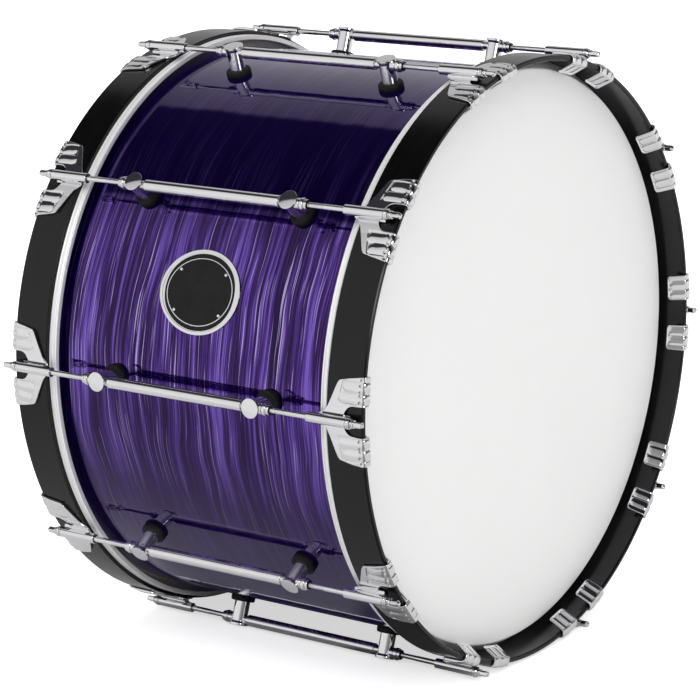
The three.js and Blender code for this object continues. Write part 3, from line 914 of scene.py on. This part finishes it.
def make_world():
    """A long room: pale walls, a dark ceiling, and a dark end on the camera's side. The shade of wall and
    ceiling depends on the angle round the drum's axis, measured from the right over the ceiling. Looked at
    directly, the room is plain white."""
    world = bpy.data.worlds.new("studio")
    bpy.context.scene.world = world
    world.use_nodes = True
    nodes, links = world.node_tree.nodes, world.node_tree.links
    where, parts = nodes.new("ShaderNodeTexCoord"), nodes.new("ShaderNodeSeparateXYZ")
    links.new(where.outputs["Generated"], parts.inputs[0])
    height, angle = nodes.new("ShaderNodeMath"), nodes.new("ShaderNodeMath")
    height.operation, angle.operation = "ABSOLUTE", "ARCTAN2"
    links.new(parts.outputs["Z"], height.inputs[0])
    links.new(height.outputs[0], angle.inputs[0])
    links.new(parts.outputs["X"], angle.inputs[1])

    def shades(value, low, high, stops):
        """Greys or colours at places between a low and a high value."""
        share, ramp = nodes.new("ShaderNodeMapRange"), nodes.new("ShaderNodeValToRGB")
        share.inputs["From Min"].default_value, share.inputs["From Max"].default_value = low, high
        links.new(value, share.inputs["Value"])
        links.new(share.outputs["Result"], ramp.inputs["Fac"])
        while len(ramp.color_ramp.elements) < len(stops):
            ramp.color_ramp.elements.new(0.5)
        for element, (position, *shade) in zip(ramp.color_ramp.elements, stops):
            element.position = position
            element.color = (*(shade * 3)[:3], 1)
        return ramp.outputs["Color"]

    dark = (0.034, 0.034, 0.042)
    round_stops = [(0, 0.50), (7, 0.58), (55, 0.50), (72, 0.42), (74, *dark), (120, *dark), (122, 0.50),
                   (136, 0.72), (180, 0.82)]
    walls = shades(angle.outputs[0], 0, math.pi, [(degrees / 180, *shade) for degrees, *shade in round_stops])
    ends = shades(parts.outputs["Y"], -1, 1, [(0.0, 0.15), (0.22, 0.40), (0.40, 1.0)])
    both = nodes.new("ShaderNodeVectorMath")
    both.operation = "MULTIPLY"
    links.new(walls, both.inputs[0])
    links.new(ends, both.inputs[1])
    seen, shown = nodes.new("ShaderNodeLightPath"), nodes.new("ShaderNodeMix")
    shown.data_type = "RGBA"
    links.new(seen.outputs["Is Camera Ray"], shown.inputs[0])
    links.new(both.outputs["Vector"], shown.inputs[6])
    shown.inputs[7].default_value = (1, 1, 1, 1)
    links.new(shown.outputs[2], nodes["Background"].inputs["Color"])


def make_lights():
    """One very wide light from above, for soft shadows, which mirrors don't show, and one softbox near the
    camera, for the highlights on round edges."""
    data = bpy.data.lights.new("overhead", "SUN")
    data.energy = 2.85
    data.angle = math.radians(80)
    made = bpy.data.objects.new("overhead", data)
    made.rotation_euler = Vector((0.32, 0.22, -0.92)).to_track_quat("-Z", "Y").to_euler()
    made.visible_glossy = False
    made.visible_camera = False
    bpy.context.scene.collection.objects.link(made)
    data = bpy.data.lights.new("softbox", "AREA")
    data.size = 1.0
    data.energy = 20
    made = bpy.data.objects.new("softbox", data)
    towards = Vector((-0.42, -0.86, 0.30))
    made.location = towards * 3.4 + Vector((0, 0, AXIS_Z))
    made.rotation_euler = towards.to_track_quat("Z", "Y").to_euler()
    made.visible_camera = False
    bpy.context.scene.collection.objects.link(made)


def make_camera():
    """Camera fitted to the photograph: its direction, its distance in rod circles, and its small offsets."""
    azimuth, elevation = math.radians(-54.605), math.radians(12.587)
    distance, aside, above = 9.3258, -0.0511, -0.0455
    back = Vector((math.sin(azimuth) * math.cos(elevation), -math.cos(azimuth) * math.cos(elevation),
                   math.sin(elevation)))
    right = Vector((math.cos(azimuth), math.sin(azimuth), 0))
    up = back.cross(right)
    data = bpy.data.cameras.new("camera")
    data.sensor_width = 36
    data.lens = 144.92
    data.clip_start, data.clip_end = 0.1, 200
    camera = bpy.data.objects.new("camera", data)
    turn = Matrix((right, up, back)).transposed().to_4x4()
    centre = Vector((0, 0, AXIS_Z))
    place = centre + ROD_AXIS * (back * distance + right * aside + up * above)
    camera.matrix_world = Matrix.Translation(place) @ turn
    bpy.context.scene.collection.objects.link(camera)
    bpy.context.scene.camera = camera


make_camera()
make_world()
make_lights()
make_stage()
bpy.context.scene.view_settings.view_transform = "Standard"

shell = frame["nodes"]["shell"]
shell.data.materials.clear()
shell.data.materials.append(MAPLE)
HALF_CLAW = half_claw()
make_wrap()
make_badge()
make_vent()
for end, end_side in ENDS:
    make_head(end, end_side)
    make_rim(end, end_side)
    make_hoop(end, end_side)
    for order, station in enumerate(STATIONS):
        make_claw(end, end_side, station, order * STATION_STEP)
        make_rod(end, end_side, station, order * STATION_STEP)
for order, station in enumerate(STATIONS):
    make_lug(station, order * STATION_STEP)
